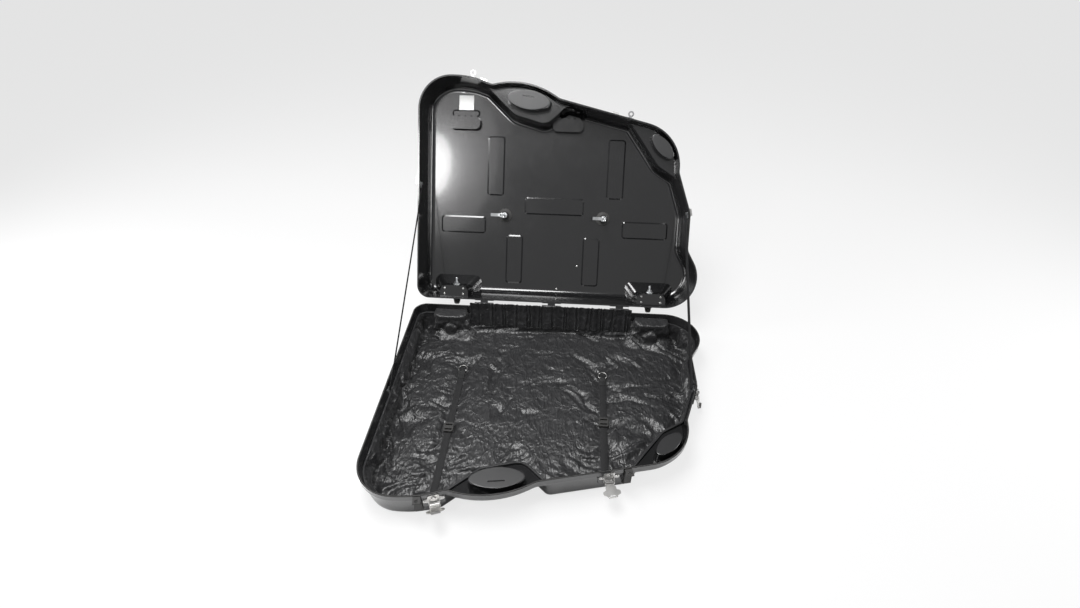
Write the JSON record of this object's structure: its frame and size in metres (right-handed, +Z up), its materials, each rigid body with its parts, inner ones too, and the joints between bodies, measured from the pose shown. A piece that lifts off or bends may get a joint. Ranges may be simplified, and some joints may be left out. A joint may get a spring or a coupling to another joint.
{
  "type": "bike travel case",
  "caption": "Hard-shell clamshell travel case for a bicycle: rounded asymmetric halves with moulded handles, casters, latches, padded base and lid held open by straps.",
  "frame": {"origin": "middle of the base's flat underside", "axes": "+X along the hinge to the heel, +Y from the front edge to the hinge, +Z up"},
  "size_m": [1.2088, 1.5397, 0.9436],
  "materials": {
    "shell": "glossy moulded, black",
    "seal": "matte",
    "lining": "crumpled padded nylon, black",
    "webbing": "woven, black",
    "hinge_steel": "black",
    "zinc_steel": "zinc plated",
    "caster_tread": "matte, black",
    "latch_steel": "bright nickel",
    "rivets": "bright",
    "black_plastic": "black",
    "lever_alloy": "satin"
  },
  "bodies": {
    "base": {"base_shell": "shell", "rim_seal": "seal", "base_lining": "lining", "lining_flap": "lining", "hinge_leaves_base": "hinge_steel", "hinge_pins": "hinge_steel", "caster_kingpins_base": "zinc_steel", "caster_washers_base": "zinc_steel", "caster_nuts_base": "zinc_steel", "latch_plate_front_left": "latch_steel", "latch_plate_front_right": "latch_steel", "latch_plate_left": "latch_steel", "latch_plate_right": "latch_steel", "latch_locks": "latch_steel", "latch_pins": "latch_steel", "latch_rivets": "rivets", "lock_brackets": "black_plastic", "stay_strap_left": "webbing", "stay_strap_right": "webbing", "stay_anchors_base": "rivets", "tie_strap_left": "webbing", "tie_strap_right": "webbing", "tie_rings": "latch_steel", "tie_buckles": "black_plastic"},
    "lid": {"lid_shell": "shell", "hinge_leaves_lid": "hinge_steel", "latch_keepers": "latch_steel", "keeper_rivets": "rivets", "well_rivets": "rivets", "padlock_eyes": "latch_steel", "stay_anchors_lid": "rivets", "caster_kingpins_lid": "zinc_steel", "caster_washers_lid": "zinc_steel", "caster_nuts_lid": "zinc_steel", "skewer_posts": "black_plastic", "skewer_nuts": "black_plastic", "skewer_pins": "zinc_steel", "skewer_rod_left": "zinc_steel", "skewer_rod_right": "zinc_steel"},
    "caster_base_left": {"caster_fork_base_left": "zinc_steel", "caster_axle_base_left": "zinc_steel"},
    "wheel_base_left": {"caster_wheel_base_left": "caster_tread"},
    "caster_base_right": {"caster_fork_base_right": "zinc_steel", "caster_axle_base_right": "zinc_steel"},
    "wheel_base_right": {"caster_wheel_base_right": "caster_tread"},
    "caster_lid_left": {"caster_fork_lid_left": "zinc_steel", "caster_axle_lid_left": "zinc_steel"},
    "wheel_lid_left": {"caster_wheel_lid_left": "caster_tread"},
    "caster_lid_right": {"caster_fork_lid_right": "zinc_steel", "caster_axle_lid_right": "zinc_steel"},
    "wheel_lid_right": {"caster_wheel_lid_right": "caster_tread"},
    "lever_front_left": {"latch_lever_front_left": "latch_steel"},
    "lever_front_right": {"latch_lever_front_right": "latch_steel"},
    "lever_left": {"latch_lever_left": "latch_steel"},
    "lever_right": {"latch_lever_right": "latch_steel"},
    "cam_left": {"skewer_lever_left": "lever_alloy"},
    "cam_right": {"skewer_lever_right": "lever_alloy"}
  },
  "joints": [
    {"name": "lid_hinge", "type": "hinge", "parent": "base", "child": "lid", "pos_m": [0, 0.4725, 0.1305], "axis": [1, 0, 0], "range_deg": [0, 121], "deforming": ["stay_strap_left", "stay_strap_right"]},
    {"name": "swivel_base_left", "type": "hinge", "parent": "base", "child": "caster_base_left", "pos_m": [-0.4345, 0.4055, 0.052], "axis": [0, 1, 0], "continuous": true},
    {"name": "spin_base_left", "type": "hinge", "parent": "caster_base_left", "child": "wheel_base_left", "pos_m": [-0.4345, 0.4655, 0.032], "axis": [1, 0, 0], "continuous": true},
    {"name": "swivel_base_right", "type": "hinge", "parent": "base", "child": "caster_base_right", "pos_m": [0.4075, 0.4055, 0.052], "axis": [0, 1, 0], "continuous": true},
    {"name": "spin_base_right", "type": "hinge", "parent": "caster_base_right", "child": "wheel_base_right", "pos_m": [0.4075, 0.4655, 0.032], "axis": [1, 0, 0], "continuous": true},
    {"name": "swivel_lid_left", "type": "hinge", "parent": "lid", "child": "caster_lid_left", "pos_m": [-0.4345, 0.57429, 0.1475], "axis": [0, -0.515, -0.8572], "continuous": true},
    {"name": "spin_lid_left", "type": "hinge", "parent": "caster_lid_left", "child": "wheel_lid_left", "pos_m": [-0.4345, 0.56054, 0.08577], "axis": [-1, 0, 0], "continuous": true},
    {"name": "swivel_lid_right", "type": "hinge", "parent": "lid", "child": "caster_lid_right", "pos_m": [0.4075, 0.57429, 0.1475], "axis": [0, -0.515, -0.8572], "continuous": true},
    {"name": "spin_lid_right", "type": "hinge", "parent": "caster_lid_right", "child": "wheel_lid_right", "pos_m": [0.4075, 0.56054, 0.08577], "axis": [-1, 0, 0], "continuous": true},
    {"name": "latch_front_left", "type": "hinge", "parent": "base", "child": "lever_front_left", "pos_m": [-0.31944, -0.44621, 0.084], "axis": [-0.9443, -0.3292, 0], "range_deg": [-100, 58]},
    {"name": "latch_front_right", "type": "hinge", "parent": "base", "child": "lever_front_right", "pos_m": [0.2166, -0.33047, 0.084], "axis": [-0.9724, -0.2334, 0], "range_deg": [-65, 93]},
    {"name": "latch_left", "type": "hinge", "parent": "base", "child": "lever_left", "pos_m": [-0.5975, -0.0325, 0.084], "axis": [0, 1, 0], "range_deg": [0, 158]},
    {"name": "latch_right", "type": "hinge", "parent": "base", "child": "lever_right", "pos_m": [0.54838, 0.05573, 0.084], "axis": [-0.2185, -0.9758, 0], "range_deg": [0, 158]},
    {"name": "cam_turn_left", "type": "hinge", "parent": "lid", "child": "cam_left", "pos_m": [-0.2335, 0.68776, 0.43982], "axis": [0, 0.515, 0.8572], "range_deg": [0, 180]},
    {"name": "cam_turn_right", "type": "hinge", "parent": "lid", "child": "cam_right", "pos_m": [0.1925, 0.68776, 0.43982], "axis": [0, 0.515, 0.8572], "range_deg": [0, 180]}
  ]
}
